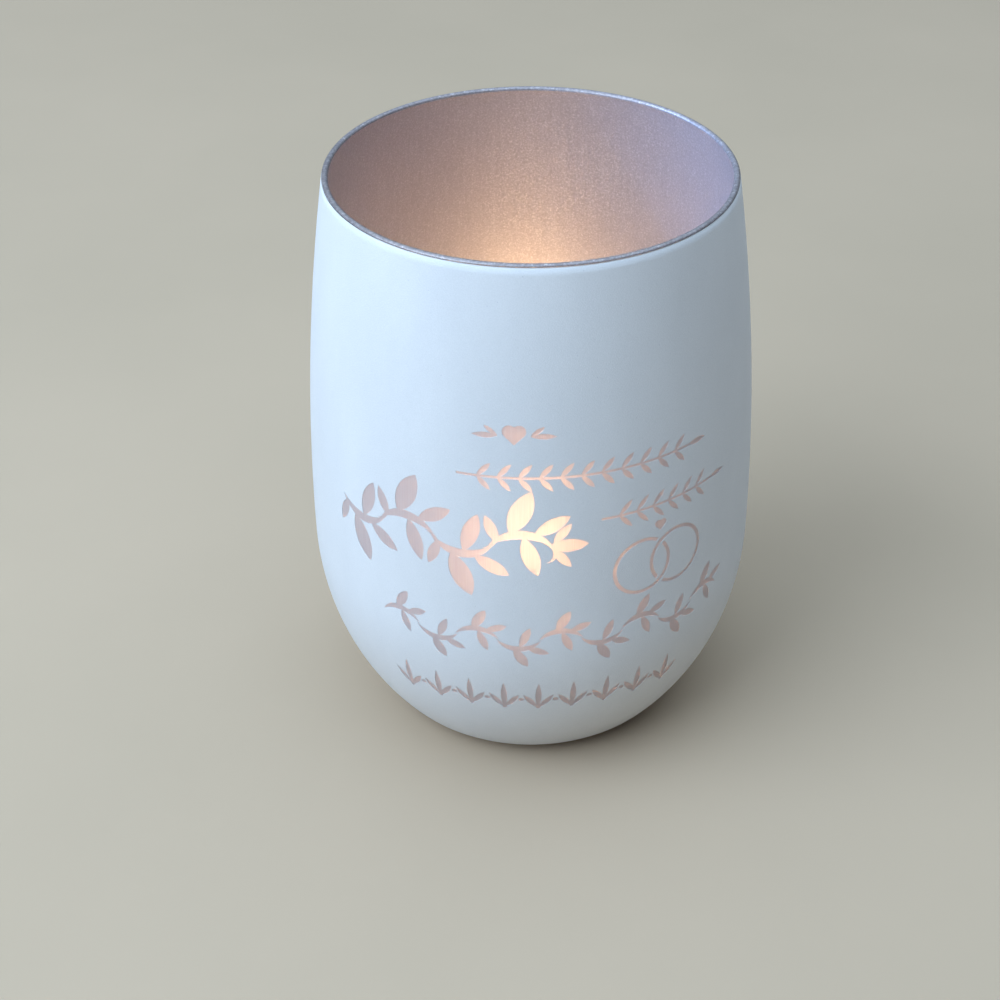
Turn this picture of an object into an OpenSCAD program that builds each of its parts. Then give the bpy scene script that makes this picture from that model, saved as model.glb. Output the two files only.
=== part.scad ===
// Engraved glass candle lantern: a clear glass bowl, lacquered outside and lined with metal
// inside, with a tealight standing on its floor. The motif is cut through the lacquer only.

/* [Bowl] */
// Height from the resting ring to the rim
height = 125; // [118:1:132]
// Largest diameter, over the lacquer
widest_d = 95; // [92:1:98]
// Height of the middle of the widest belt
widest_h = 43.5; // [40.5:1.5:46.5]
// Outer diameter at the rim, over the lacquer
mouth_d = 82; // [78:1:85]
// Radius of the bend from the resting ring into the side
foot_bend_r = 10; // [8.5:1.5:11.5]

/* [Glass] */
// Wall thickness at the widest section
wall = 2.2; // [1.9:0.1:2.6]
// Wall thickness at the fire-polished rim
rim_wall = 1; // [0.9:0.1:1.4]
// Thickness of the heavy glass floor
floor_t = 6; // [4.5:1.5:7.5]
// Radius of the bend from the glass floor into the cavity's side
cavity_bend_r = 13; // [11.5:1.5:14.5]
// Depth of the hollow under the floor
punt_depth = 1.6; // [1:0.2:2.4]
// Width of the flat resting ring
ring_w = 5; // [4:0.5:7]

/* [Coats] */
// Thickness of the white lacquer
lacquer_t = 0.25; // [0.2:0.05:0.35]
// Thickness of the metallic lining
lining_t = 0.25; // [0.2:0.05:0.35]

/* [Motif] */
// Line width of the finest stems and rings
fine_line = 0.55; // [0.45:0.05:0.7]
// Height of the bold branch above the resting surface
branch_h = 67; // [65:1:69]
// Height of the middle vine
vine_h = 44; // [43:1:45]
// Height of the lowest, beaded row
bead_row_h = 26.5; // [25:0.5:28]
// Height of the fine sprig above the branch
sprig_h = 82.5; // [81:0.5:84]

/* [Tealight] */
// Outer diameter of the tealight cup
cup_d = 38; // [37:0.5:40]
// Height of the tealight cup
cup_h = 16; // [14:1:18]
// Depth from the cup's rim down to the wax
wax_drop = 3; // [2:0.5:4]
// Diameter of the melt pool
pool_d = 27; // [24:1:30]
// Diameter of the wick
wick_d = 1.6; // [1.4:0.1:2]
// Height of the wick above the melt pool
wick_h = 6; // [5:0.5:8]

/* [Hidden] */
$fn = 128;

// A bowl outline is [widest radius, mouth radius, bend radius, floor height].
glass_r = widest_d / 2 - lacquer_t;
mouth_r = mouth_d / 2 - lacquer_t;
outside = [glass_r, mouth_r, foot_bend_r, 0];
inside = [glass_r - wall, mouth_r - rim_wall, cavity_bend_r, floor_t];

// The widest section is a straight belt, so that no two arcs meet on it.
belt_low = widest_h - 0.5;
belt_high = widest_h + 0.5;
rim_h = height - rim_wall / 2;
coat_top_h = rim_h - 0.1;
coat_start_angle = 24;

cup_floor_h = floor_t + lining_t;
foil_t = 0.4;
cup_bead_r = 0.55;
cup_r = cup_d / 2 - cup_bead_r;
wax_h = cup_h - wax_drop;
pool_depth = 2.4;
pool_drop = 0.5;
sustainer_d = 13;
sustainer_t = 0.4;
neck_d = 3;
neck_h = 4;

// ---- Bowl outline: a bend, a lower arc, the belt and an upper arc, each tangent to the next ----

// The line through the centres of the bend and the lower arc falls 3 in 4, so that the point
// where they meet, and both radii, are whole numbers for a rise that is a multiple of 3.
line_rise = 3 / 5;
line_run = 4 / 5;
function side_rise(c) = belt_low - c[3] - c[2];
function lower_r(c) = side_rise(c) / line_rise + c[2];
function upper_r(c) = round((pow(rim_h - belt_high, 2) + pow(c[0] - c[1], 2)) / (2 * (c[0] - c[1])));
function floor_r(c) = c[0] - lower_r(c) + side_rise(c) / line_rise * line_run;
function bend_top(c, inset) = c[3] + c[2] - (c[2] - inset) * line_rise;
function arc_r(c, h) = h < belt_low ? lower_r(c) : upper_r(c);
function above_belt(h) = h < belt_low ? h - belt_low : max(h - belt_high, 0);
function radius_at(c, h) = c[0] - arc_r(c, h) + sqrt(pow(arc_r(c, h), 2) - pow(above_belt(h), 2));
function lean_at(c, h) = asin(above_belt(h) / arc_r(c, h));

// What lies beyond an arc, between two heights, out to a given reach
module beyond_arc(r, centre, low, high, reach) {
    start = max(centre[0], 0);
    difference() {
        translate([start, low]) square([reach - start, high - low]);
        translate(centre) circle(r, $fn = 360);
    }
}

// The half-section inside a bowl outline, set inwards by inset, up to a top
module bowl_section(c, inset = 0, top = height) {
    low = c[3] + inset;
    mid = bend_top(c, inset);
    reach = c[0] + 1;
    difference() {
        translate([0, low]) square([c[0] - inset, top - low]);
        beyond_arc(c[2] - inset, [floor_r(c), c[3] + c[2]], low - 1, mid, reach);
        beyond_arc(lower_r(c) - inset, [c[0] - lower_r(c), belt_low], mid, belt_low, reach);
        beyond_arc(upper_r(c) - inset, [c[0] - upper_r(c), belt_high], belt_high, top + 1, reach);
    }
}

module below(h) {
    intersection() {
        children();
        translate([0, -1]) square([widest_d, h + 1]);
    }
}

// ---- Glass ----

module punt_section() {
    ring_in = floor_r(outside) - ring_w;
    dome_r = (pow(ring_in, 2) + pow(punt_depth, 2)) / (2 * punt_depth);
    intersection() {
        translate([0, punt_depth - dome_r]) circle(dome_r, $fn = 360);
        square([ring_in, punt_depth + 1]);
    }
}

// What the flame polish takes off the square rim to round it
module rim_waste_section() {
    out_r = radius_at(outside, rim_h);
    in_r = radius_at(inside, rim_h);
    difference() {
        translate([0, rim_h]) square([widest_d, rim_wall]);
        translate([(out_r + in_r) / 2, rim_h]) circle((out_r - in_r) / 2, $fn = 96);
    }
}

module glass_bowl() color("lightcyan") {
    rotate_extrude() difference() {
        bowl_section(outside);
        bowl_section(inside, 0, height + 1);
        punt_section();
        rim_waste_section();
    }
}

// ---- Motif: flat shapes, drawn as seen from outside, then cut through the lacquer ----

// A pointed leaf that grows from the origin along +X
module leaf(length, width) {
    r = (pow(length, 2) + pow(width, 2)) / (4 * width);
    intersection() {
        translate([length / 2, r - width / 2]) circle(r);
        translate([length / 2, width / 2 - r]) circle(r);
    }
}

// A stroke along an arc from -length/2 to length/2, pointed at both ends and thickest midway
module swelling_stroke(length, rise, thickness) {
    outer_r = (pow(length / 2, 2) + pow(rise + thickness, 2)) / (2 * (rise + thickness));
    inner_r = (pow(length / 2, 2) + pow(rise, 2)) / (2 * rise);
    difference() {
        translate([0, rise + thickness - outer_r]) circle(outer_r);
        translate([0, rise - inner_r]) circle(inner_r);
    }
}

module ring(r, line) {
    difference() {
        circle(r);
        circle(r - line);
    }
}

// A plain heart, its point at the origin, width across its lobes
module heart(width) {
    side = width / (1 + sqrt(2)) * sqrt(2);
    rotate(45) {
        square(side);
        translate([side / 2, side]) circle(side / 2);
        translate([side, side / 2]) circle(side / 2);
    }
}

// Stands a flat shape on the lacquer at an angle round from the front and a height
module on_lacquer(around, h) {
    cut_depth = 3;
    rotate([0, 0, around])
        translate([0, -radius_at(outside, h), h])
            rotate([90 - lean_at(outside, h), 0, 0])
                linear_extrude(height = 2 * cut_depth, center = true) children();
}

// The angle that a length takes up round the lacquer at a height
function turn(length, h) = length / radius_at(outside, h) * 180 / PI;

// A level line round the lacquer
module level_line(from, to, h, line) {
    rotate([0, 0, from - 90])
        rotate_extrude(angle = to - from)
            translate([radius_at(outside, h) - 2, h - line / 2]) square([4, line]);
}

// Pairs of slim leaves along a level stem, with a leaf at its end
module sprig(from, to, h, pitch, leaf_l, leaf_w) {
    level_line(from, to, h, fine_line);
    for (around = [from + pitch : pitch : to - pitch / 2]) on_lacquer(around, h) {
        rotate(48) leaf(leaf_l, leaf_w);
        rotate(-48) leaf(leaf_l, leaf_w);
    }
    on_lacquer(to, h) translate([-0.3, 0]) leaf(leaf_l * 1.2, leaf_w * 1.1);
}

module heart_between_leaves() {
    h = 89.5;
    around = -4;
    on_lacquer(around, h) {
        heart(4.6);
        for (side = [0, 1]) mirror([side, 0]) translate([3.1, 1.9]) {
            leaf(5, 1.2);
            rotate(38) leaf(3.4, 0.9);
        }
    }
}

// Bold branch: swelling strokes end to end, with broad leaves above and below
branch_from = -53;
branch_stroke_l = 12.6;
branch_strokes = 4;
module bold_branch() {
    step = turn(branch_stroke_l - 0.8, branch_h);
    for (i = [0 : branch_strokes - 1])
        on_lacquer(branch_from + (i + 0.5) * step, branch_h) mirror([0, 1 - i % 2]) {
            swelling_stroke(branch_stroke_l, 1.8, 2);
            translate([-2.2, 3]) rotate(66) leaf(10.5, 4.4);
            translate([2.6, 2.8]) rotate(30) leaf(8, 3);
            translate([-4.6, 0.8]) rotate(112) leaf(6.5, 2.3);
            translate([0.4, 2.2]) rotate(-72) leaf(9.5, 3.4);
            translate([4.6, -1.6]) rotate(-80) swelling_stroke(4.6, 1.7, 0.8);
        }
    on_lacquer(branch_from + branch_strokes * step, branch_h) {
        translate([-0.6, 0]) leaf(8, 3);
        translate([0.4, 0.8]) rotate(50) leaf(5.5, 1.9);
        translate([0.4, -0.8]) rotate(-50) leaf(5.5, 1.9);
    }
}

// Two plain rings, each passing over the other once
module linked_rings() {
    h = 58.5;
    r = 6.6;
    line = 0.8;
    spread = 8.2;
    middle = 33;
    gap = 0.5;
    half_angle = acos(spread / 2 / (r - line / 2));
    for (side = [0, 1])
        on_lacquer(middle + (side - 0.5) * turn(spread, h), h)
            mirror([side, 0]) difference() {
                ring(r, line);
                rotate(half_angle * (1 - 2 * side)) translate([r - 2 * line, -line / 2 - gap])
                    square([4 * line, line + 2 * gap]);
            }
    on_lacquer(middle, h) translate([0, r + 0.6]) heart(2.8);
}

// Medium vine: a wave of swelling strokes with a leaf in each hollow
vine_from = -39;
vine_stroke_l = 9;
vine_strokes = 9;
module middle_vine() {
    step = turn(vine_stroke_l - 0.5, vine_h);
    for (i = [0 : vine_strokes - 1])
        on_lacquer(vine_from + (i + 0.5) * step, vine_h) mirror([0, i % 2]) {
            swelling_stroke(vine_stroke_l, 1.5, 1.4);
            translate([-1, 2.2]) rotate(60) leaf(5.6, 2.2);
            translate([1.8, 2]) rotate(20) leaf(4.6, 1.7);
            translate([0.2, 1.8]) rotate(-68) leaf(5.4, 1.8);
        }
}

// Lowest row: three-leaved sprouts, each from a bud, with a bead between each two
module bead_row() {
    pitch_angle = 4.5;
    reach = 8;
    middle = 2;
    for (i = [-reach : reach])
        on_lacquer(middle + i * pitch_angle, bead_row_h)
            if (i % 2 != 0) circle(0.6);
            else translate([0, -3]) {
                circle(0.5);
                for (aside = [-34, 0, 34]) rotate(90 + aside) leaf(8.4 - abs(aside) / 12, 1.3);
            }
}

module motif() {
    heart_between_leaves();
    sprig(-18, 42, sprig_h, 5, 4, 1.15);
    bold_branch();
    sprig(17, 50, 72, 4.5, 4.2, 1.05);
    linked_rings();
    middle_vine();
    bead_row();
}

// ---- Coats ----

// Everything above and outside the line where the lacquer starts, low on the foot's bend
module above_foot() {
    centre = [floor_r(outside), foot_bend_r];
    end = centre + 2 * foot_bend_r * [sin(coat_start_angle), -cos(coat_start_angle)];
    polygon([centre, end, [widest_d, end[1]], [widest_d, height], [0, height], [0, centre[1]]]);
}

module outer_coat() color("aliceblue") {
    difference() {
        rotate_extrude() below(coat_top_h) intersection() {
            difference() {
                bowl_section(outside, -lacquer_t);
                bowl_section(outside, 0, height + 1);
            }
            above_foot();
        }
        motif();
    }
}

module inner_coat() color("rosybrown") {
    rotate_extrude() below(coat_top_h) difference() {
        bowl_section(inside);
        bowl_section(inside, lining_t, height + 1);
    }
}

// ---- Tealight ----

module tealight_cup() color("silver") {
    translate([0, 0, cup_floor_h]) rotate_extrude() {
        difference() {
            square([cup_r, cup_h - cup_bead_r]);
            translate([0, foil_t]) square([cup_r - foil_t, cup_h]);
        }
        translate([cup_r - foil_t / 2, cup_h - cup_bead_r]) circle(cup_bead_r, $fn = 32);
    }
}

module wax_body() color("ivory") {
    pool_low_r = pool_d / 2 - pool_depth;
    translate([0, 0, cup_floor_h + foil_t]) rotate_extrude() difference() {
        square([cup_r - foil_t, wax_h - foil_t]);
        square([sustainer_d / 2, sustainer_t]);
        square([neck_d / 2, neck_h]);
        square([wick_d / 2, wax_h]);
        translate([0, wax_h - foil_t - pool_depth]) square([pool_low_r, pool_depth]);
        translate([pool_low_r, wax_h - foil_t]) circle(pool_depth, $fn = 64);
    }
}

module melt_pool() color("oldlace") {
    pool_low_r = pool_d / 2 - pool_depth;
    low = cup_floor_h + wax_h - pool_depth;
    translate([0, 0, low]) rotate_extrude() intersection() {
        difference() {
            union() {
                square([pool_low_r, pool_depth]);
                translate([pool_low_r, pool_depth]) circle(pool_depth, $fn = 64);
            }
            square([wick_d / 2, pool_depth]);
        }
        square([pool_d, pool_depth - pool_drop]);
    }
}

module wick() color("dimgray") {
    low = cup_floor_h + foil_t;
    top = cup_floor_h + wax_h - pool_drop + wick_h;
    translate([0, 0, low]) cylinder(d = wick_d, h = top - low);
}

module wick_sustainer() color("lightgray") {
    translate([0, 0, cup_floor_h + foil_t]) difference() {
        union() {
            cylinder(d = sustainer_d, h = sustainer_t);
            cylinder(d = neck_d, h = neck_h);
        }
        translate([0, 0, -1]) cylinder(d = wick_d, h = neck_h + 2);
    }
}

glass_bowl();
outer_coat();
inner_coat();
tealight_cup();
wax_body();
melt_pool();
wick();
wick_sustainer();
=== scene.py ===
import bisect
import cmath
import math

import bpy
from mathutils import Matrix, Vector, geometry


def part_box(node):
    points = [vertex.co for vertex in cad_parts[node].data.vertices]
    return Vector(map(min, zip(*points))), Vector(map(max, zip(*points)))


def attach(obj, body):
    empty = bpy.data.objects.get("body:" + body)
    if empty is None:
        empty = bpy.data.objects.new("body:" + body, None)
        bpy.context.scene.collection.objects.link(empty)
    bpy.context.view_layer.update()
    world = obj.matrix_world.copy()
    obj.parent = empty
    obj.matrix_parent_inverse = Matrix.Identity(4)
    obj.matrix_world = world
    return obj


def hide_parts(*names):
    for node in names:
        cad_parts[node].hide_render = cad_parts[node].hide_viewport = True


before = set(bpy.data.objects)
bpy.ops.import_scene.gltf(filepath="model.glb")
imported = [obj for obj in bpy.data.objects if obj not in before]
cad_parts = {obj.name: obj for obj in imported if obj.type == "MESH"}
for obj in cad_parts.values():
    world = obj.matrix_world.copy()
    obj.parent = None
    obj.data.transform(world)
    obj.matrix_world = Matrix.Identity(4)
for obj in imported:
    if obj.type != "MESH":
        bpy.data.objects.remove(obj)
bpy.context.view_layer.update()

MM = 0.001

# ---- Sizes: driving dimensions in millimetres, the rest from the frame ----

WIDEST_R = 47.5          # over the lacquer
MOUTH_R = 41.0           # over the lacquer, at the rim
BELT_LOW, BELT_HIGH = 43.0, 44.0
FOOT_BEND_R = 10.0
CAVITY_BEND_R = 13.0
WALL = 2.2
RIM_WALL = 1.0
LACQUER = 0.25
PUNT_DEPTH = 1.6
RING_W = 5.0
COAT_START_ANGLE = 24.0  # round the foot's bend, from straight down
FINE_LINE = 0.55
FILM_IN, FILM_OUT = 0.03, 0.1    # the lining's two faces, off the glass
FILM_UNDER = 0.05                # the lacquer's underside, below its face
GLASS_UNDER = 0.07               # the glass under it, below the same face
COAT_END_ANGLE = 16.0            # where the lacquer ends on the rim's bead, 90 at its top
FILM_END_ANGLE = 28.0            # and where the lining, which comes over it from inside, ends
FILM_PASSES = 0.2                # the share of light that passes almost straight through the lining
FILM_BLURS = 0.2                 # and the share that it spreads widely
LATHE_SEGMENTS = 256             # the faces round a turned piece


def top_of(node):
    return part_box(node)[1].z / MM


def bottom_of(node):
    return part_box(node)[0].z / MM


HEIGHT = top_of("glass_bowl")
RIM_H = HEIGHT - RIM_WALL / 2
COAT_TOP = top_of("outer_coat")
FLOOR = bottom_of("inner_coat")
CUP_LOW, CUP_TOP = bottom_of("tealight_cup"), top_of("tealight_cup")
CUP_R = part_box("tealight_cup")[1].y / MM
WAX_LOW, WAX_TOP = bottom_of("wax_body"), top_of("wax_body")
WAX_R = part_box("wax_body")[1].y / MM
POOL_TOP = top_of("melt_pool")
POOL_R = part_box("melt_pool")[1].y / MM
WICK_TOP = top_of("wick")
WICK_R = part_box("wick")[1].y / MM


# ---- The bowl's outline: floor, bend, lower arc, belt and upper arc ----

class Outline:
    """A half-section of the bowl. Its bend and lower arc meet where a 3-4-5 triangle puts them."""

    def __init__(self, widest, mouth, bend, floor):
        self.widest, self.bend, self.floor = widest, bend, floor
        rise = BELT_LOW - floor - bend
        self.lower = rise / 0.6 + bend
        self.floor_r = widest - self.lower + rise / 0.75
        self.upper = round(((RIM_H - BELT_HIGH) ** 2 + (widest - mouth) ** 2) / (2 * (widest - mouth)))

    def radius(self, h, inset=0.0):
        if h < BELT_LOW:
            arc = self.lower - inset
            return self.widest - self.lower + math.sqrt(arc**2 - (h - BELT_LOW) ** 2)
        arc = self.upper - inset
        return self.widest - self.upper + math.sqrt(arc**2 - max(h - BELT_HIGH, 0.0) ** 2)

    def lean(self, h):
        if h < BELT_LOW:
            return math.asin((h - BELT_LOW) / self.lower)
        return math.asin(max(h - BELT_HIGH, 0.0) / self.upper)

    def points(self, inset, top, start_angle=0.0, step=1.0):
        """Points (r, h) up the outline. The bend starts at start_angle from straight down."""
        join = math.atan2(0.6, 0.8)
        out = arc_points((self.floor_r, self.floor + self.bend), self.bend - inset,
                         math.radians(start_angle) - math.pi / 2, -join, step / 2)
        out += arc_points((self.widest - self.lower, BELT_LOW), self.lower - inset, -join, 0.0, step)[1:]
        up = self.upper - inset
        out += arc_points((self.widest - self.upper, BELT_HIGH), up, 0.0,
                          math.asin((top - BELT_HIGH) / up), step)
        return out


def arc_points(centre, r, start, end, step):
    n = max(2, math.ceil(abs(end - start) * r / step))
    turns = [start + (end - start) * i / n for i in range(n + 1)]
    return [(centre[0] + r * math.cos(t), centre[1] + r * math.sin(t)) for t in turns]


OUTSIDE = Outline(WIDEST_R - LACQUER, MOUTH_R - LACQUER, FOOT_BEND_R, 0.0)
INSIDE = Outline(WIDEST_R - LACQUER - WALL, MOUTH_R - LACQUER - RIM_WALL, CAVITY_BEND_R, FLOOR)


def rim_bead():
    """The centre (r, h) and the radius of the glass's rounded rim."""
    outer_r, inner_r = OUTSIDE.radius(RIM_H) + LACQUER - GLASS_UNDER, INSIDE.radius(RIM_H)
    radius = (outer_r - inner_r) / 2
    return (inner_r + radius, HEIGHT - FILM_OUT - radius), radius


# ---- Mesh making ----

def mesh_object(name, verts, faces, sharp=40.0):
    """A smooth-shaded mesh, sharp where its faces meet at more than sharp degrees. verts in mm."""
    mesh = bpy.data.meshes.new(name)
    mesh.from_pydata([(x * MM, y * MM, z * MM) for x, y, z in verts], [], faces)
    mesh.update()
    mesh.shade_smooth()
    mesh.set_sharp_from_angle(angle=math.radians(sharp))
    obj = bpy.data.objects.new(name, mesh)
    bpy.context.scene.collection.objects.link(obj)
    return obj


def lathe(name, profile, segments=LATHE_SEGMENTS, shape=None, closed=False, sharp=40.0):
    """Turns a profile of (r, h) points about Z. shape(r, h, turn) may move a point."""
    verts, rows = [], []
    for r, h in profile:
        if r < 1e-6:
            rows.append([len(verts)] * segments)
            verts.append((0.0, 0.0, h))
            continue
        rows.append(list(range(len(verts), len(verts) + segments)))
        for i in range(segments):
            turn = 2 * math.pi * i / segments
            rr, hh = shape(r, h, turn) if shape else (r, h)
            verts.append((rr * math.cos(turn), rr * math.sin(turn), hh))
    faces = []
    pairs = list(zip(rows, rows[1:] + rows[:1])) if closed else list(zip(rows, rows[1:]))
    for low, high in pairs:
        for i in range(segments):
            j = (i + 1) % segments
            face = [low[i], low[j], high[j], high[i]]
            face = [v for k, v in enumerate(face) if v != face[k - 1]]
            if len(face) > 2:
                faces.append(face)
    return mesh_object(name, verts, faces, sharp)


def finish_piece(obj, body, slot, *nodes):
    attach(obj, body)
    if nodes:
        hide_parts(*nodes)
    return obj


# ---- Materials ----

def material(name, colour, roughness, **sockets):
    """A Principled material; sockets are its other plain values, by name with _ for a space."""
    mat = bpy.data.materials.new(name)
    mat.use_nodes = True
    shader = mat.node_tree.nodes["Principled BSDF"]
    shader.inputs["Base Color"].default_value = (*colour, 1.0)
    shader.inputs["Roughness"].default_value = roughness
    for socket, value in sockets.items():
        shader.inputs[socket.replace("_", " ")].default_value = value
    return mat, mat.node_tree, shader


def node(tree, kind, **values):
    """A new node; values set its properties, or its inputs by name with _ for a space."""
    made = tree.nodes.new("ShaderNode" + kind)
    for key, value in values.items():
        if hasattr(made, key):
            setattr(made, key, value)
        else:
            made.inputs[key.replace("_", " ")].default_value = value
    return made


def stretched(tree, scale=(1, 1, 1)):
    """Object coordinates, scaled along each axis."""
    place = node(tree, "TexCoord")
    mapping = node(tree, "Mapping")
    mapping.inputs["Scale"].default_value = scale
    tree.links.new(place.outputs["Object"], mapping.inputs["Vector"])
    return mapping.outputs["Vector"]


def object_axes(tree):
    """Object coordinates as three outputs, X, Y and Z."""
    place = node(tree, "TexCoord")
    split = node(tree, "SeparateXYZ")
    tree.links.new(place.outputs["Object"], split.inputs[0])
    return split


def share_of_height(tree, low, high):
    """A value that runs from 0 to 1 between two heights in mm."""
    rise = node(tree, "MapRange")
    rise.inputs["From Min"].default_value = low * MM
    rise.inputs["From Max"].default_value = high * MM
    tree.links.new(object_axes(tree).outputs["Z"], rise.inputs["Value"])
    return rise.outputs[0]


def round_axis(tree, around, up):
    """Coordinates that run round the axis and up it, in features a metre."""
    split = object_axes(tree)
    turn = node(tree, "Math", operation="ARCTAN2")
    tree.links.new(split.outputs["X"], turn.inputs[0])
    tree.links.new(split.outputs["Y"], turn.inputs[1])
    join = node(tree, "CombineXYZ")
    for source, value, target in ((turn.outputs[0], around * WIDEST_R * MM, 0),
                                  (split.outputs["Z"], up, 1)):
        times = node(tree, "Math", operation="MULTIPLY")
        times.inputs[1].default_value = value
        tree.links.new(source, times.inputs[0])
        tree.links.new(times.outputs[0], join.inputs[target])
    return join.outputs[0]


def noise(tree, vector, scale, detail=2.0, roughness=0.5):
    made = node(tree, "TexNoise", Scale=scale, Detail=detail, Roughness=roughness)
    tree.links.new(vector, made.inputs["Vector"])
    return made.outputs["Fac"]


def ramp(tree, factor, stops):
    """A colour ramp; each stop is (position, grey or colour)."""
    made = node(tree, "ValToRGB")
    elements = made.color_ramp.elements
    while len(elements) < len(stops):
        elements.new(0.5)
    for element, (position, colour) in zip(elements, stops):
        element.position = position
        element.color = (colour,) * 3 + (1.0,) if isinstance(colour, float) else (*colour, 1.0)
    tree.links.new(factor, made.inputs["Fac"])
    return made.outputs["Color"]


def between(tree, factor, low, high):
    """A value that runs from low to high as factor goes from 0 to 1."""
    made = node(tree, "MapRange")
    made.inputs["To Min"].default_value = low
    made.inputs["To Max"].default_value = high
    tree.links.new(factor, made.inputs["Value"])
    return made.outputs["Result"]


def bump(tree, height, distance, strength=1.0, after=None):
    made = node(tree, "Bump", Distance=distance, Strength=strength)
    tree.links.new(height, made.inputs["Height"])
    if after is not None:
        tree.links.new(after, made.inputs["Normal"])
    return made.outputs["Normal"]


def mixed_colour(tree, factor, a, b, blend="MIX"):
    made = node(tree, "Mix")
    made.data_type, made.blend_type = "RGBA", blend
    for socket, value in ((made.inputs[0], factor), (made.inputs[6], a), (made.inputs[7], b)):
        if hasattr(value, "is_output"):
            tree.links.new(value, socket)
        elif isinstance(value, float):
            socket.default_value = value
        else:
            socket.default_value = (*value, 1.0)
    return made.outputs[2]


def white_lacquer():
    """Matt spray lacquer: a very fine grain, faint clouds of tone and a few tiny specks."""
    mat, tree, shader = material("white_lacquer", (0.8, 0.8, 0.8), 0.55, Specular_IOR_Level=0.35)
    grain = noise(tree, stretched(tree), 4200, 3, 0.6)
    clouds = noise(tree, stretched(tree, (1, 1, 0.4)), 60, 4, 0.6)
    tone = ramp(tree, clouds, [(0.3, (0.755, 0.762, 0.772)), (0.7, (0.80, 0.806, 0.815))])
    speckle = ramp(tree, grain, [(0.25, 0.91), (0.75, 1.0)])
    tone = mixed_colour(tree, 1.0, tone, speckle, "MULTIPLY")
    specks = node(tree, "TexVoronoi", Scale=260)
    tree.links.new(stretched(tree), specks.inputs["Vector"])
    spots = ramp(tree, specks.outputs["Distance"], [(0.02, 1.0), (0.035, 0.0)])
    tone = mixed_colour(tree, spots, tone, (0.62, 0.63, 0.66))
    tree.links.new(tone, shader.inputs["Base Color"])
    tree.links.new(between(tree, grain, 0.48, 0.66), shader.inputs["Roughness"])
    tree.links.new(bump(tree, grain, 0.00007, 0.9), shader.inputs["Normal"])
    return mat


def metallic_lining():
    """Sprayed metal flake: satin, with fine sparkle and faint upright streaks. A little of the
    flame's light passes straight on through it, blurred."""
    mat, tree, shader = material("metallic_lining", (0.6, 0.58, 0.64), 0.45, Metallic=0.42)
    flake = noise(tree, stretched(tree), 2600, 2, 0.7)
    streaks = noise(tree, round_axis(tree, 900, 60), 1.0, 3, 0.6)
    tone = ramp(tree, flake, [(0.32, (0.45, 0.446, 0.50)), (0.55, (0.575, 0.568, 0.645)),
                              (0.72, (0.83, 0.82, 0.90))])
    streak_tone = ramp(tree, streaks, [(0.3, 0.9), (0.7, 1.0)])
    tone = mixed_colour(tree, 1.0, tone, streak_tone, "MULTIPLY")
    tree.links.new(tone, shader.inputs["Base Color"])
    tree.links.new(between(tree, flake, 0.55, 0.38), shader.inputs["Roughness"])
    relief = bump(tree, flake, 0.00006, 0.7)
    tree.links.new(bump(tree, streaks, 0.00003, 0.4, relief), shader.inputs["Normal"])
    surface = shader.outputs[0]
    for share, roughness in ((FILM_BLURS, 0.8), (FILM_PASSES, 0.52)):
        through = node(tree, "BsdfRefraction", Roughness=roughness, IOR=1.5)
        through.inputs["Color"].default_value = (0.94, 0.85, 0.90, 1.0)
        both = node(tree, "MixShader")
        both.inputs[0].default_value = share
        tree.links.new(surface, both.inputs[1])
        tree.links.new(through.outputs[0], both.inputs[2])
        surface = both.outputs[0]
    tree.links.new(surface, tree.nodes["Material Output"].inputs["Surface"])
    return mat


def rim_lining_painted_shade():
    """The same metal over the polished rim, glossier, and darker in tone: painted shade for the little light
    that falls on the up-facing rim.
    """
    mat, tree, shader = material("rim_lining_painted_shade", (0.34, 0.30, 0.30), 0.45, Metallic=0.45)
    flake = noise(tree, stretched(tree), 1500, 2, 0.7)
    # darker tones than the lining's: painted shade on the rim
    tree.links.new(ramp(tree, flake, [(0.35, (0.23, 0.20, 0.20)), (0.6, (0.34, 0.30, 0.30)),
                                      (0.8, (0.66, 0.60, 0.57))]), shader.inputs["Base Color"])
    tree.links.new(between(tree, flake, 0.55, 0.32), shader.inputs["Roughness"])
    tree.links.new(bump(tree, flake, 0.00005, 0.6), shader.inputs["Normal"])
    return mat


def lining_binder():
    """The clear side of the lining, against the glass."""
    mat, tree, shader = material("lining_binder", (1.0, 0.97, 0.95), 0.03,
                                 Transmission_Weight=1.0, IOR=1.5)
    waves = noise(tree, stretched(tree, (1, 1, 0.5)), 150, 2)
    tree.links.new(between(tree, waves, 0.01, 0.05), shader.inputs["Roughness"])
    return mat


def clear_glass():
    mat, tree, shader = material("clear_glass", (0.97, 0.985, 0.98), 0.02,
                                 Transmission_Weight=1.0, IOR=1.5)
    waves = noise(tree, stretched(tree, (1, 1, 0.5)), 120, 2)
    tree.links.new(between(tree, waves, 0.01, 0.035), shader.inputs["Roughness"])
    tree.links.new(bump(tree, waves, 0.00004, 0.3), shader.inputs["Normal"])
    return mat


def engraved_glass():
    """The glass where the lacquer is burnt away: frosted by the laser, in fine upright lines."""
    mat, tree, shader = material("engraved_glass", (0.96, 0.84, 0.82), 0.5,
                                 Transmission_Weight=0.5, IOR=1.5)
    lines = noise(tree, round_axis(tree, 4200, 90), 1.0, 2, 0.6)
    tree.links.new(ramp(tree, lines, [(0.3, (0.92, 0.765, 0.75)), (0.7, (0.99, 0.86, 0.845))]),
                   shader.inputs["Base Color"])
    tree.links.new(between(tree, lines, 0.36, 0.6), shader.inputs["Roughness"])
    tree.links.new(bump(tree, lines, 0.00003, 0.5), shader.inputs["Normal"])
    return mat


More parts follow.
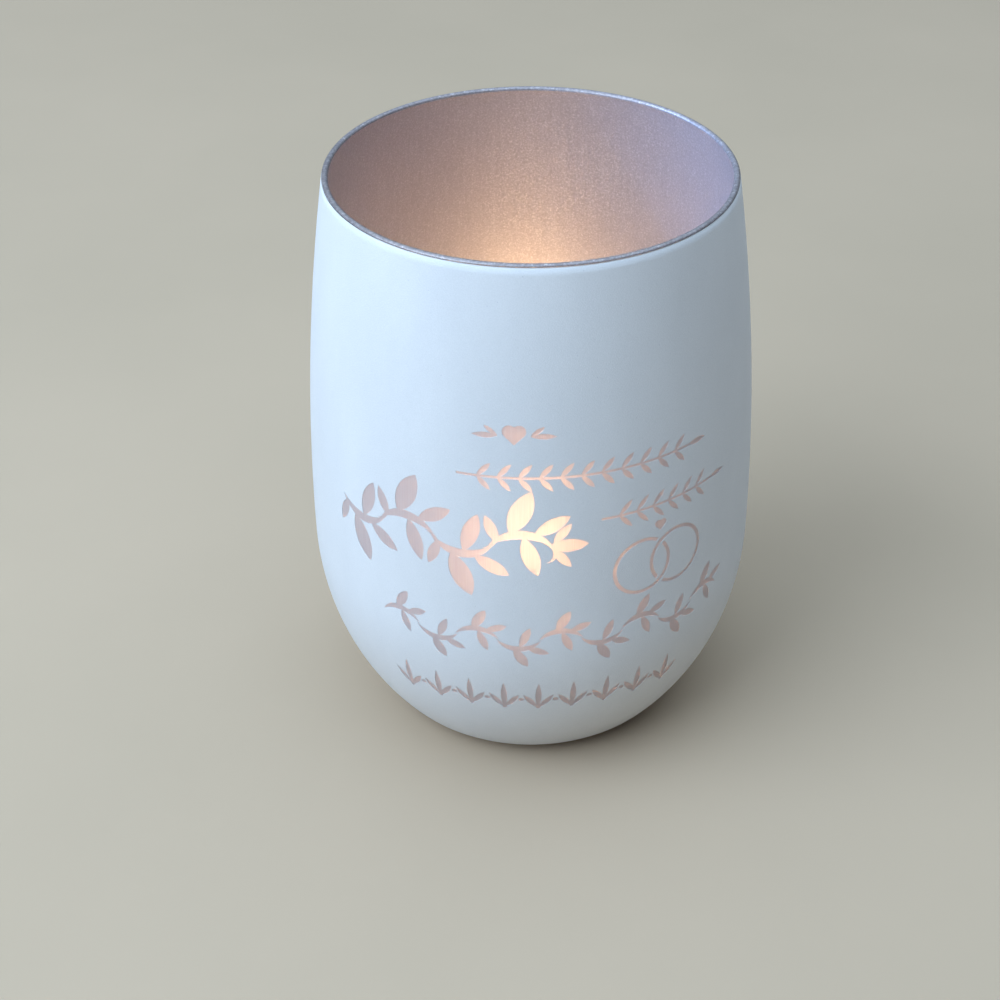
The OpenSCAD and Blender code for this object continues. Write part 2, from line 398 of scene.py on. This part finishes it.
def cup_aluminium():
    mat, tree, shader = material("cup_aluminium", (0.82, 0.82, 0.83), 0.3, Metallic=1.0)
    lines = noise(tree, round_axis(tree, 300, 3000), 1.0, 3)
    dents = noise(tree, stretched(tree), 260, 3)
    tree.links.new(between(tree, lines, 0.2, 0.42), shader.inputs["Roughness"])
    relief = bump(tree, dents, 0.0003, 0.35)
    tree.links.new(bump(tree, lines, 0.00002, 0.4, relief), shader.inputs["Normal"])
    tree.links.new(ramp(tree, dents, [(0.3, (0.74, 0.74, 0.76)), (0.7, (0.86, 0.86, 0.87))]),
                   shader.inputs["Base Color"])
    return mat


def solid_wax():
    mat, tree, shader = material("solid_wax", (0.93, 0.9, 0.83), 0.45, Subsurface_Weight=0.5,
                                 Subsurface_Scale=0.004)
    shader.inputs["Subsurface Radius"].default_value = (1.0, 0.6, 0.35)
    clouds = noise(tree, stretched(tree), 320, 4, 0.6)
    tree.links.new(ramp(tree, clouds, [(0.3, (0.88, 0.85, 0.78)), (0.7, (0.95, 0.93, 0.88))]),
                   shader.inputs["Base Color"])
    tree.links.new(between(tree, clouds, 0.35, 0.55), shader.inputs["Roughness"])
    tree.links.new(bump(tree, clouds, 0.00015, 0.5), shader.inputs["Normal"])
    return mat


def molten_wax():
    mat, tree, shader = material("molten_wax", (0.9, 0.85, 0.74), 0.04, Subsurface_Weight=0.7,
                                 Subsurface_Scale=0.006, Coat_Weight=1.0)
    shader.inputs["Subsurface Radius"].default_value = (1.0, 0.7, 0.45)
    ripples = noise(tree, stretched(tree), 90, 2)
    tree.links.new(ramp(tree, ripples, [(0.3, (0.86, 0.8, 0.68)), (0.7, (0.93, 0.88, 0.79))]),
                   shader.inputs["Base Color"])
    tree.links.new(between(tree, ripples, 0.02, 0.08), shader.inputs["Roughness"])
    tree.links.new(bump(tree, ripples, 0.0002, 0.25), shader.inputs["Normal"])
    return mat


def wick_cotton():
    """Braided cotton, pale below and charred black above the wax, with a glowing tip."""
    mat, tree, shader = material("wick_cotton", (0.1, 0.08, 0.07), 0.9)
    rise = share_of_height(tree, POOL_TOP - 1, WICK_TOP)
    fibre = noise(tree, stretched(tree, (1, 1, 0.3)), 3500, 3)
    burnt = ramp(tree, rise, [(0.0, (0.62, 0.52, 0.38)), (0.3, (0.09, 0.06, 0.045)),
                              (1.0, (0.02, 0.018, 0.018))])
    shade = ramp(tree, fibre, [(0.3, 0.6), (0.7, 1.0)])
    tree.links.new(mixed_colour(tree, 1.0, burnt, shade, "MULTIPLY"), shader.inputs["Base Color"])
    ember = ramp(tree, rise, [(0.86, (0.0, 0.0, 0.0)), (0.97, (1.0, 0.16, 0.02))])
    tree.links.new(ember, shader.inputs["Emission Color"])
    shader.inputs["Emission Strength"].default_value = 3.0
    tree.links.new(bump(tree, fibre, 0.0001, 0.8), shader.inputs["Normal"])
    return mat


def tinplate():
    mat, tree, shader = material("tinplate", (0.66, 0.66, 0.67), 0.35, Metallic=1.0)
    marks = noise(tree, round_axis(tree, 2000, 400), 1.0, 3)
    tree.links.new(ramp(tree, marks, [(0.3, (0.58, 0.58, 0.6)), (0.7, (0.72, 0.72, 0.73))]),
                   shader.inputs["Base Color"])
    tree.links.new(between(tree, marks, 0.25, 0.45), shader.inputs["Roughness"])
    tree.links.new(bump(tree, marks, 0.00003, 0.4), shader.inputs["Normal"])
    return mat


def flame_glow(low, high):
    """Faint and blue round the wick, then amber, with the brightest part above its middle."""
    mat = bpy.data.materials.new("flame_glow")
    mat.use_nodes = True
    tree = mat.node_tree
    tree.nodes.remove(tree.nodes["Principled BSDF"])
    rise = share_of_height(tree, low, high)
    light = node(tree, "Emission", Strength=FLAME_STRENGTH)
    tone = ramp(tree, rise, [(0.0, (0.02, 0.04, 0.16)), (0.16, (0.12, 0.08, 0.1)),
                             (0.3, (0.9, 0.42, 0.12)), (0.55, (1.0, 0.66, 0.28)),
                             (0.85, (1.0, 0.52, 0.16)), (1.0, (0.8, 0.28, 0.05))])
    tree.links.new(tone, light.inputs["Color"])
    clear = node(tree, "BsdfTransparent")
    body = node(tree, "MixShader")
    cover = ramp(tree, rise, [(0.0, 0.15), (0.25, 0.5), (0.45, 1.0), (0.9, 0.9), (1.0, 0.5)])
    tree.links.new(cover, body.inputs[0])
    tree.links.new(clear.outputs[0], body.inputs[1])
    tree.links.new(light.outputs[0], body.inputs[2])
    tree.links.new(body.outputs[0], tree.nodes["Material Output"].inputs["Surface"])
    return mat


# ---- Motif: closed outlines of complex numbers x + yj in mm, as seen from outside ----

def bow(a, b, rise, step=0.35):
    """Points along the arc from a to b that rises to its left, without b."""
    chord = abs(b - a)
    way = (b - a) / chord
    half = 2 * math.atan(2 * rise / chord)
    r = chord / 2 / math.sin(half)
    centre = (a + b) / 2 + 1j * way * (rise - r)
    n = max(4, math.ceil(abs(2 * half * r) / step))
    return [centre + 1j * way * r * cmath.exp(1j * half * (1 - 2 * i / n)) for i in range(n)]


def leaf(length, width):
    return bow(0j, length + 0j, width / 2) + bow(length + 0j, 0j, width / 2)


def swelling_stroke(length, rise, thickness):
    left, right = -length / 2 + 0j, length / 2 + 0j
    return bow(left, right, rise + thickness) + bow(right, left, -rise)


def disc(r):
    return bow(-r + 0j, r + 0j, r, 0.15) + bow(r + 0j, -r + 0j, r, 0.15)


def heart(width):
    side = width / (1 + math.sqrt(2)) * math.sqrt(2)
    right, top, left = side + 0j, side + side * 1j, side * 1j
    corner = [side * t / 8 + 0j for t in range(8)]
    lobes = bow(right, top, -side / 2) + bow(top, left, -side / 2)
    back = [left * (1 - t / 8) for t in range(8)]
    return turned(corner + lobes + back, 45)


def open_ring(r, line, gap_at, gap):
    """A ring's line, left out where another ring passes over it."""
    def side(radius):
        cut = math.degrees(math.asin((line / 2 + gap) / radius))
        n = 120
        turns = [gap_at + cut + (360 - 2 * cut) * i / n for i in range(n + 1)]
        return [cmath.rect(radius, math.radians(t)) for t in turns]
    return side(r) + side(r - line)[::-1]


def turned(points, angle):
    return [p * cmath.rect(1, math.radians(angle)) for p in points]


def moved(points, x, y):
    return [p + complex(x, y) for p in points]


def flipped(points):
    """Upside down."""
    return [p.conjugate() for p in points]


def mirrored(points):
    """Left for right."""
    return [-p.conjugate() for p in points]


def on_lacquer(around, h, *outlines):
    """Lays flat outlines on the lacquer's face, square to it at a turn from the front and a height.
    Gives each as points (turn in degrees, height)."""
    base_r, lean = OUTSIDE.radius(h), OUTSIDE.lean(h)
    laid = []
    for outline in outlines:
        points = []
        for p in outline:
            t = LACQUER
            for _ in range(6):
                y = -base_r + p.imag * math.sin(lean) - t * math.cos(lean)
                z = h + p.imag * math.cos(lean) + t * math.sin(lean)
                t -= math.hypot(p.real, y) - OUTSIDE.radius(z, -LACQUER)
            points.append((around + math.degrees(math.atan2(p.real, -y)), z))
        laid.append(points)
    return laid


def turn_of(length, h):
    return math.degrees(length / OUTSIDE.radius(h))


def level_line(start, end, h):
    n = math.ceil((end - start) / 0.5)
    turns = [start + (end - start) * i / n for i in range(n + 1)]
    low, high = h - FINE_LINE / 2, h + FINE_LINE / 2
    return [[(t, low) for t in turns] + [(t, high) for t in reversed(turns)]]


def sprig(start, end, h, pitch, leaf_l, leaf_w):
    laid = level_line(start, end, h)
    pair = [turned(leaf(leaf_l, leaf_w), 48), turned(leaf(leaf_l, leaf_w), -48)]
    around = start + pitch
    while around <= end - pitch / 2 + 1e-9:
        laid += on_lacquer(around, h, *pair)
        around += pitch
    return laid + on_lacquer(end, h, moved(leaf(leaf_l * 1.2, leaf_w * 1.1), -0.3, 0))


def heart_between_leaves():
    leaves = [moved(leaf(5, 1.2), 3.1, 1.9), moved(turned(leaf(3.4, 0.9), 38), 3.1, 1.9)]
    return on_lacquer(-4, 89.5, heart(4.6), *leaves, *[mirrored(p) for p in leaves])


def bold_branch():
    h, start, length, strokes = 67, -53, 12.6, 4
    step = turn_of(length - 0.8, h)
    parts = [swelling_stroke(length, 1.8, 2),
             moved(turned(leaf(10.5, 4.4), 66), -2.2, 3),
             moved(turned(leaf(8, 3), 30), 2.6, 2.8),
             moved(turned(leaf(6.5, 2.3), 112), -4.6, 0.8),
             moved(turned(leaf(9.5, 3.4), -72), 0.4, 2.2),
             moved(turned(swelling_stroke(4.6, 1.7, 0.8), -80), 4.6, -1.6)]
    laid = []
    for i in range(strokes):
        laid += on_lacquer(start + (i + 0.5) * step, h, *(parts if i % 2 else map(flipped, parts)))
    return laid + on_lacquer(start + strokes * step, h,
                             moved(leaf(8, 3), -0.6, 0),
                             moved(turned(leaf(5.5, 1.9), 50), 0.4, 0.8),
                             moved(turned(leaf(5.5, 1.9), -50), 0.4, -0.8))


def linked_rings():
    h, r, line, spread, middle, gap = 58.5, 6.6, 0.8, 8.2, 33, 0.5
    crossing = math.degrees(math.acos(spread / 2 / (r - line / 2)))
    half = turn_of(spread, h) / 2
    left = open_ring(r, line, crossing, gap)
    right = mirrored(open_ring(r, line, -crossing, gap))
    return (on_lacquer(middle - half, h, left) + on_lacquer(middle + half, h, right)
            + on_lacquer(middle, h, moved(heart(2.8), 0, r + 0.6)))


def middle_vine():
    h, start, length, strokes = 44, -39, 9, 9
    step = turn_of(length - 0.5, h)
    parts = [swelling_stroke(length, 1.5, 1.4),
             moved(turned(leaf(5.6, 2.2), 60), -1, 2.2),
             moved(turned(leaf(4.6, 1.7), 20), 1.8, 2),
             moved(turned(leaf(5.4, 1.8), -68), 0.2, 1.8)]
    laid = []
    for i in range(strokes):
        laid += on_lacquer(start + (i + 0.5) * step, h, *(map(flipped, parts) if i % 2 else parts))
    return laid


def bead_row():
    h, pitch_angle, reach, middle = 26.5, 4.5, 8, 2
    leaves = [turned(leaf(8.4 - abs(aside) / 12, 1.3), 90 + aside) for aside in (-34, 0, 34)]
    sprout = [moved(shape, 0, -3) for shape in [disc(0.5)] + leaves]
    laid = []
    for i in range(-reach, reach + 1):
        laid += on_lacquer(middle + i * pitch_angle, h, *([disc(0.6)] if i % 2 else sprout))
    return laid


def motif():
    return (heart_between_leaves() + sprig(-18, 42, 82.5, 5, 4, 1.15) + bold_branch()
            + sprig(17, 50, 72, 4.5, 4.2, 1.05) + linked_rings() + middle_vine() + bead_row())


# ---- The lacquer, cut through by the motif ----

class Unrolled:
    """The lacquer's face laid flat: x is the way round at the widest radius, y the way up its section."""

    def __init__(self):
        centre, radius = rim_bead()
        wall = OUTSIDE.points(-LACQUER, centre[1], COAT_START_ANGLE, 0.25)
        over_rim = arc_points(centre, radius + GLASS_UNDER, 0.0, math.radians(COAT_END_ANGLE), 0.08)[1:]
        self.section = wall + over_rim
        self.along = [0.0]
        for a, b in zip(self.section, self.section[1:]):
            self.along.append(self.along[-1] + math.dist(a, b))
        self.heights = [h for _, h in self.section]
        self.rim_rows = self.along[len(wall):]
        self.wall_length = self.along[len(wall) - 1]
        self.width = 2 * math.pi * WIDEST_R

    def flat(self, turn, h):
        i = min(max(bisect.bisect(self.heights, h), 1), len(self.heights) - 1)
        share = (h - self.heights[i - 1]) / (self.heights[i] - self.heights[i - 1])
        return math.radians(turn) * WIDEST_R, self.along[i - 1] + share * (self.along[i] - self.along[i - 1])

    def solid(self, x, y, depth):
        """The point under (x, y) at a depth below the face, and the face's normal there."""
        i = min(max(bisect.bisect(self.along, y), 1), len(self.along) - 1)
        share = (y - self.along[i - 1]) / (self.along[i] - self.along[i - 1])
        (r0, h0), (r1, h1) = self.section[i - 1], self.section[i]
        r, h = r0 + share * (r1 - r0), h0 + share * (h1 - h0)
        slope = math.dist((r0, h0), (r1, h1))
        out, up = (h1 - h0) / slope, -(r1 - r0) / slope
        sin, cos = math.sin(x / WIDEST_R), math.cos(x / WIDEST_R)
        r, h = r - depth * out, h - depth * up
        return (r * sin, -r * cos, h), (out * sin, -out * cos, up)


def counterclockwise(loop):
    area = sum(a[0] * b[1] - b[0] * a[1] for a, b in zip(loop, loop[1:] + loop[:1]))
    return loop if area > 0 else loop[::-1]


def face_points(flat, loops, grid, clear=0.5):
    """The motif's points on the unrolled face, then a grid's wherever none of those is near."""
    def cell(x, y):
        return round(x / clear), round(y / clear)
    points = [Vector(p) for loop in loops for p in loop]
    taken = {cell(p.x, p.y) for p in points}
    columns, rows = math.ceil(flat.width / grid), math.ceil(flat.wall_length / grid)
    levels = [flat.wall_length * j / rows for j in range(rows + 1)] + flat.rim_rows
    for i in range(columns + 1):
        x = flat.width * (i / columns - 0.5)
        points += [Vector((x, y)) for y in levels if cell(x, y) not in taken]
    return points


def holed_triangles(points, loops):
    """Triangles over the points, with the loops, which come first among them, left open."""
    rims, first = [], 0
    for loop in loops:
        rims.append(list(range(first, first + len(loop))))
        first += len(loop)
    verts, _, tris, _, _, inside = geometry.delaunay_2d_cdt(points, [], rims, 0, 1e-5, True)
    return verts, [t for t, owners in zip(tris, inside) if not owners]


def rolled_up(flat, verts, tris):
    """The spots in use, those where the face's two ends meet made one, and the triangles on them."""
    edge_x = flat.width / 2 - 1e-4
    index, spots, seam = {}, [], {}
    for v in sorted({v for t in tris for v in t}):
        x, y = verts[v]
        level = round(y, 3)
        if abs(x) > edge_x and level in seam:
            index[v] = seam[level]
            continue
        if abs(x) > edge_x:
            seam[level] = len(spots)
        index[v] = len(spots)
        spots.append((x, y))
    return spots, [tuple(index[v] for v in t) for t in tris]


def closed_film(coords, outward, tris):
    """Faces and their corners' normals for the triangles, their underside and the walls between.
    coords holds the face's points and then the underside's; outward is the normal at each."""
    count = len(outward)
    faces, normals, edges = [], [], {}
    for a, b, c in tris:
        faces += [(a, b, c), (c + count, b + count, a + count)]
        normals += [outward[i] for i in (a, b, c)]
        normals += [tuple(-q for q in outward[i]) for i in (c, b, a)]
        edges.update(dict.fromkeys(((a, b), (b, c), (c, a))))
    for a, b in edges:
        if (b, a) not in edges:
            faces.append((b, a, a + count, b + count))
            wall = (Vector(coords[a]) - Vector(coords[b])).cross(Vector(outward[a])).normalized()
            normals += [tuple(-wall)] * 4
    return faces, normals


def lacquer_mesh(name, grid=1.5):
    """The lacquer's face with the motif left out, as a thin closed film."""
    flat = Unrolled()
    loops = [counterclockwise([flat.flat(*p) for p in outline]) for outline in motif()]
    verts, open_tris = holed_triangles(face_points(flat, loops, grid), loops)
    spots, tris = rolled_up(flat, verts, open_tris)
    top = [flat.solid(x, y, 0.0) for x, y in spots]
    under = [flat.solid(x, y, FILM_UNDER) for x, y in spots]
    coords = [p for p, _ in top + under]
    faces, normals = closed_film(coords, [outward for _, outward in top], tris)
    mesh = bpy.data.meshes.new(name)
    mesh.from_pydata([(x * MM, y * MM, z * MM) for x, y, z in coords], [], faces)
    mesh.shade_smooth()
    mesh.normals_split_custom_set(normals)
    obj = bpy.data.objects.new(name, mesh)
    bpy.context.scene.collection.objects.link(obj)
    return obj


def make_lacquer():
    obj = lacquer_mesh("white_lacquer_coat")
    obj.data.materials.append(white_lacquer())
    return finish_piece(obj, "lantern", "white_lacquer", "outer_coat")


# ---- Glass and lining ----

def punt_points():
    ring_in = OUTSIDE.floor_r - RING_W
    dome_r = (ring_in**2 + PUNT_DEPTH**2) / (2 * PUNT_DEPTH)
    half = math.asin(ring_in / dome_r)
    return arc_points((0.0, PUNT_DEPTH - dome_r), dome_r, math.pi / 2, math.pi / 2 - half, 1.5)


def under_lacquer(wall):
    """The glass comes out to meet the lacquer's underside, over the bend from the resting ring."""
    out = []
    for r, h in wall:
        share = min(1.0, h / bottom_of("outer_coat"))
        out.append((r + (LACQUER - GLASS_UNDER) * share, h))
    return out


def make_glass():
    centre, radius = rim_bead()
    wall = under_lacquer(OUTSIDE.points(0.0, centre[1]))
    bead = arc_points(centre, radius, 0.0, math.pi, 0.12)[1:]
    cavity = INSIDE.points(0.0, centre[1])[::-1][1:]
    obj = lathe("clear_glass_bowl", punt_points() + wall + bead + cavity + [(0.0, FLOOR)])
    obj.data.materials.append(clear_glass())
    obj.data.materials.append(engraved_glass())
    coat_low = bottom_of("outer_coat") + 1
    for face in obj.data.polygons:
        x, y, z = (c / MM for c in face.center)
        if coat_low < z < COAT_TOP and math.hypot(x, y) > OUTSIDE.radius(max(z, coat_low)) - 0.1:
            face.material_index = 1
    return finish_piece(obj, "lantern", "clear_glass", "glass_bowl")


def aside(points, distance):
    """A line of points moved to its left by a distance."""
    out = []
    for i, (r, h) in enumerate(points):
        (r0, h0), (r1, h1) = points[max(i - 1, 0)], points[min(i + 1, len(points) - 1)]
        size = math.dist((r0, h0), (r1, h1))
        left = (-(h1 - h0) / size, (r1 - r0) / size)
        out.append((r + left[0] * distance if r > 1e-6 else 0.0, h + left[1] * distance))
    return out


def make_lining():
    """A closed film up the cavity and over the rim's bead, a hair clear of the glass."""
    centre, radius = rim_bead()
    bead = arc_points(centre, radius, math.pi, math.radians(FILM_END_ANGLE), 0.08)[1:]
    path = [(0.0, FLOOR)] + INSIDE.points(0.0, centre[1]) + bead
    glass_side, cavity_side = aside(path, FILM_IN), aside(path, FILM_OUT)
    obj = lathe("metallic_lining_coat", glass_side + cavity_side[::-1], closed=True)
    obj.data.materials.append(metallic_lining())
    obj.data.materials.append(lining_binder())
    obj.data.materials.append(rim_lining_painted_shade())
    glass_faces = (len(path) - 1) * LATHE_SEGMENTS
    rim_from = centre[1] + 0.2
    for i, face in enumerate(obj.data.polygons):
        if i < glass_faces:
            face.material_index = 1
        # the rim's faces take the darker metal, which paints shade on the up-facing rim
        elif face.center.z / MM > rim_from:
            face.material_index = 2
    return finish_piece(obj, "lantern", "metallic_lining", "inner_coat")


# ---- Tealight ----

def make_cup():
    foil, bead = 0.3, 0.55
    wall_r = CUP_R - bead
    groove = [(wall_r - 6, CUP_LOW), (wall_r - 6.6, CUP_LOW + 0.5), (wall_r - 8, CUP_LOW + 0.5)]
    outside = [(wall_r - 1.2, CUP_LOW), (wall_r - 0.35, CUP_LOW + 0.35), (wall_r, CUP_LOW + 1.2),
               (wall_r, CUP_LOW + 4), (wall_r, CUP_LOW + 8), (wall_r, CUP_TOP - 2 * bead)]
    roll = arc_points((wall_r - foil / 2 + 0.1, CUP_TOP - bead), bead, -0.6, math.pi, 0.12)
    inside = [(wall_r - foil, CUP_TOP - 2 * bead - 0.4), (wall_r - foil, CUP_LOW + 6),
              (wall_r - foil, CUP_LOW + 1.2), (wall_r - 1.4, CUP_LOW + foil), (0.0, CUP_LOW + foil)]

    def ribs(r, h, turn):
        on_wall = r > wall_r - foil - 0.05 and CUP_LOW + 1.1 < h < CUP_TOP - 2 * bead
        return (r + 0.05 * math.sin(72 * turn) if on_wall else r), h

    profile = [(0.0, CUP_LOW + 0.5)] + groove[::-1] + outside + roll + inside
    obj = lathe("tealight_cup_foil", profile, 288, ribs)
    obj.data.materials.append(cup_aluminium())
    return finish_piece(obj, "tealight", "cup_aluminium", "tealight_cup")


def make_wax():
    def melted(r, h, turn):
        wave = 0.25 * math.sin(3 * turn + 1) + 0.15 * math.sin(7 * turn)
        near_pool = max(0.0, 1 - abs(r - POOL_R) / 2.5) if h > POOL_TOP - 3 else 0.0
        return r + wave * near_pool, h
    rim = [(WAX_R - 0.25, WAX_LOW), (WAX_R - 0.25, WAX_TOP - 0.1), (WAX_R - 0.6, WAX_TOP + 0.25)]
    shoulder = [(WAX_R - 1.4, WAX_TOP), (POOL_R + 1.6, WAX_TOP - 0.02), (POOL_R + 0.8, WAX_TOP - 0.12),
                (POOL_R + 0.2, WAX_TOP - 0.4), (POOL_R - 0.4, WAX_TOP - 0.9), (POOL_R - 1.6, WAX_TOP - 1.7),
                (POOL_R - 3.0, WAX_TOP - 2.2), (0.0, WAX_TOP - 2.3)]
    obj = lathe("wax_block", [(0.0, WAX_LOW)] + rim + shoulder, 192, melted, sharp=70)
    obj.data.materials.append(solid_wax())
    return finish_piece(obj, "tealight", "solid_wax", "wax_body")


def make_pool():
    edge = POOL_R + 0.1

    def climb(r):
        """The surface rises where it wets the wax and the wick."""
        at_wall = 0.35 * math.exp(-(edge - r) / 0.7)
        at_wick = 0.7 * math.exp(-(r - WICK_R) / 0.8)
        return POOL_TOP + at_wall + at_wick
    radii = [edge, edge - 0.2, edge - 0.5, edge - 1.0, edge - 2, edge - 4, 7.0, 5.0, 3.5, 2.4, 1.7, 1.2,
             WICK_R + 0.15, WICK_R * 0.6]
    profile = [(0.0, POOL_TOP - 1.6), (edge - 3.0, POOL_TOP - 1.6), (edge - 1.2, POOL_TOP - 0.9)]
    profile += [(r, climb(r)) for r in radii] + [(0.0, climb(WICK_R))]
    obj = lathe("melt_pool_surface", profile, 192, sharp=80)
    obj.data.materials.append(molten_wax())
    return finish_piece(obj, "tealight", "molten_wax", "melt_pool")


def wick_path(t):
    """The wick's line: upright, then leaning over at the tip. t runs from 0 to 1."""
    low = bottom_of("wick")
    height = WICK_TOP - low
    lean = max(0.0, t - 0.7) / 0.3
    return Vector((1.6 * lean**1.8, 0.5 * lean**2, low + height * t))


def make_wick():
    rings, sides = 150, 24
    verts, faces = [], []
    for i in range(rings + 1):
        t = i / rings
        centre = wick_path(t)
        ahead = (wick_path(min(t + 0.01, 1.0)) - wick_path(max(t - 0.01, 0.0))).normalized()
        across = ahead.cross(Vector((0, 1, 0))).normalized()
        other = ahead.cross(across)
        end = min(1.0, (1 - t) * 26) ** 0.5
        for j in range(sides):
            turn = 2 * math.pi * j / sides
            braid = abs(math.sin(1.5 * turn + 60 * t)) * abs(math.sin(1.5 * turn - 60 * t))
            r = WICK_R * (0.82 + 0.28 * braid) * max(end, 0.25)
            verts.append(centre + across * r * math.cos(turn) + other * r * math.sin(turn))
    for i in range(rings):
        for j in range(sides):
            k = (j + 1) % sides
            faces.append((i * sides + j, i * sides + k, (i + 1) * sides + k, (i + 1) * sides + j))
    faces += [tuple(range(sides))[::-1], tuple(range(rings * sides, (rings + 1) * sides))]
    obj = mesh_object("braided_wick", verts, faces, 60)
    obj.data.materials.append(wick_cotton())
    return finish_piece(obj, "tealight", "wick_cotton", "wick")


FLAME_H = 21.0
FLAME_R = 3.6
FLAME_STRENGTH = 9.0
CANDLE_COLOUR = (1.0, 0.63, 0.31)
CANDLE_POWER = 0.144
NEAR_POWER = 0.0045


def make_flame(near):
    """A teardrop round the wick's top, leaning a touch. Its light rides with it."""
    low = POOL_TOP + 1.6
    profile = []
    for i in range(41):
        t = i / 40
        r = FLAME_R * math.sin(math.pi * min(1.0, t ** 0.62)) ** 0.9 * (1 - 0.25 * t)
        profile.append((max(r, 0.0) if 0 < i < 40 else 0.0, low + FLAME_H * t))
    obj = lathe("flame", profile, 64)
    for v in obj.data.vertices:
        t = max(0.0, (v.co.z / MM - low) / FLAME_H)
        v.co.x += (0.9 * t**1.5 + 0.5 * math.sin(3 * t)) * MM
    obj.data.materials.append(flame_glow(low, low + FLAME_H))
    obj.visible_shadow = False
    finish_piece(obj, "tealight", "molten_wax")
    for i, rise in enumerate((0.36, 0.9)):
        candle_lamp(f"candle_light_{i}", obj, low + FLAME_H * rise, CANDLE_POWER / 2, near, "EXCLUDE")
    candle_lamp("candle_light_near", obj, low + FLAME_H * 0.5, NEAR_POWER, near, "INCLUDE")
    return obj


def candle_lamp(name, flame, h, power, near, near_state):
    """A lamp in the flame that leaves out the pieces near it, or lights only those."""
    lamp = bpy.data.lights.new(name, "POINT")
    lamp.energy, lamp.color, lamp.shadow_soft_size = power, CANDLE_COLOUR, 0.003
    light = bpy.data.objects.new(name, lamp)
    light.location = (0.0, 0.0, h * MM)
    light.visible_camera = False
    bpy.context.scene.collection.objects.link(light)
    light.parent = flame
    reach = bpy.data.collections.new(name + "_reach")
    for piece in near:
        reach.objects.link(piece)
    for entry in reach.collection_objects:
        entry.light_linking.link_state = near_state
    light.light_linking.receiver_collection = reach


# ---- Stage: camera, light and floor ----

CAMERA_DISTANCE = 0.399
CAMERA_PITCH = 35.3
AIM_HEIGHT = 0.045


def make_camera():
    camera = bpy.data.cameras.new("camera")
    camera.sensor_width, camera.lens = 36.0, 64.8
    camera.shift_x = -0.0309
    camera.clip_start = 0.01
    obj = bpy.data.objects.new("camera", camera)
    pitch = math.radians(CAMERA_PITCH)
    obj.location = (0, -CAMERA_DISTANCE * math.cos(pitch),
                    AIM_HEIGHT + CAMERA_DISTANCE * math.sin(pitch))
    obj.rotation_euler = (math.pi / 2 - pitch, 0, 0)
    bpy.context.scene.collection.objects.link(obj)
    bpy.context.scene.camera = obj


def softbox(name, place, size, power, colour):
    lamp = bpy.data.lights.new(name, "AREA")
    lamp.shape, lamp.size, lamp.size_y = "RECTANGLE", size[0], size[1]
    lamp.energy, lamp.color = power, colour
    obj = bpy.data.objects.new(name, lamp)
    obj.location = place
    obj.rotation_euler = (Vector((0, 0, 0.06)) - Vector(place)).to_track_quat("-Z", "Y").to_euler()
    bpy.context.scene.collection.objects.link(obj)


def window_beam():
    """A slim beam from the left, through the mouth, that leaves a cool patch on the far wall."""
    target = Vector((36.0, 16.0, HEIGHT - 7)) * MM
    around, rise, distance = math.radians(171), math.radians(31), 0.3
    flat = math.cos(rise)
    away = Vector((flat * math.cos(around), flat * math.sin(around), math.sin(rise)))
    lamp = bpy.data.lights.new("window_beam", "SPOT")
    lamp.energy, lamp.color, lamp.shadow_soft_size = 4.0, (0.3, 0.5, 1.0), 0.02
    lamp.spot_size, lamp.spot_blend = math.radians(12), 0.5
    obj = bpy.data.objects.new("window_beam", lamp)
    obj.location = target + away * distance
    obj.visible_camera = False
    obj.rotation_euler = (-away).to_track_quat("-Z", "Y").to_euler()
    bpy.context.scene.collection.objects.link(obj)


def make_light():
    window_beam()
    softbox("window", (-0.88, -0.54, 0.93), (1.2, 1.0), 24.0, (0.59, 0.77, 1.0))
    softbox("sky", (0.0, 0.1, 1.5), (2.6, 2.4), 45.0, (0.59, 0.78, 1.0))
    world = bpy.data.worlds.new("room")
    world.use_nodes = True
    background = world.node_tree.nodes["Background"]
    background.inputs["Color"].default_value = (0.66, 0.79, 1.0, 1.0)
    background.inputs["Strength"].default_value = 0.09
    bpy.context.scene.world = world
    bpy.context.scene.view_settings.view_transform = "Standard"


def make_floor():
    half = 3.0
    corners = [(-half, -half, 0), (half, -half, 0), (half, half, 0), (-half, half, 0)]
    mesh = bpy.data.meshes.new("floor")
    mesh.from_pydata(corners, [], [(0, 1, 2, 3)])
    floor = bpy.data.objects.new("floor", mesh)
    bpy.context.scene.collection.objects.link(floor)
    mat, tree, shader = material("floor_paper", (0.465, 0.355, 0.25), 0.8, Specular_IOR_Level=0.2)
    clouds = noise(tree, stretched(tree), 8, 4)
    tree.links.new(ramp(tree, clouds, [(0.3, (0.45, 0.345, 0.24)), (0.7, (0.48, 0.365, 0.255))]),
                   shader.inputs["Base Color"])
    mesh.materials.append(mat)


def dress_hidden_nodes():
    """The sustainer stays as the frame has it, under the wax."""
    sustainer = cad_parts["wick_sustainer"]
    sustainer.data.materials.clear()
    sustainer.data.materials.append(tinplate())


make_camera()
make_light()
make_floor()
make_glass()
make_lining()
make_lacquer()
make_flame([make_cup(), make_wax(), make_pool(), make_wick()])
dress_hidden_nodes()

bpy.context.view_layer.update()
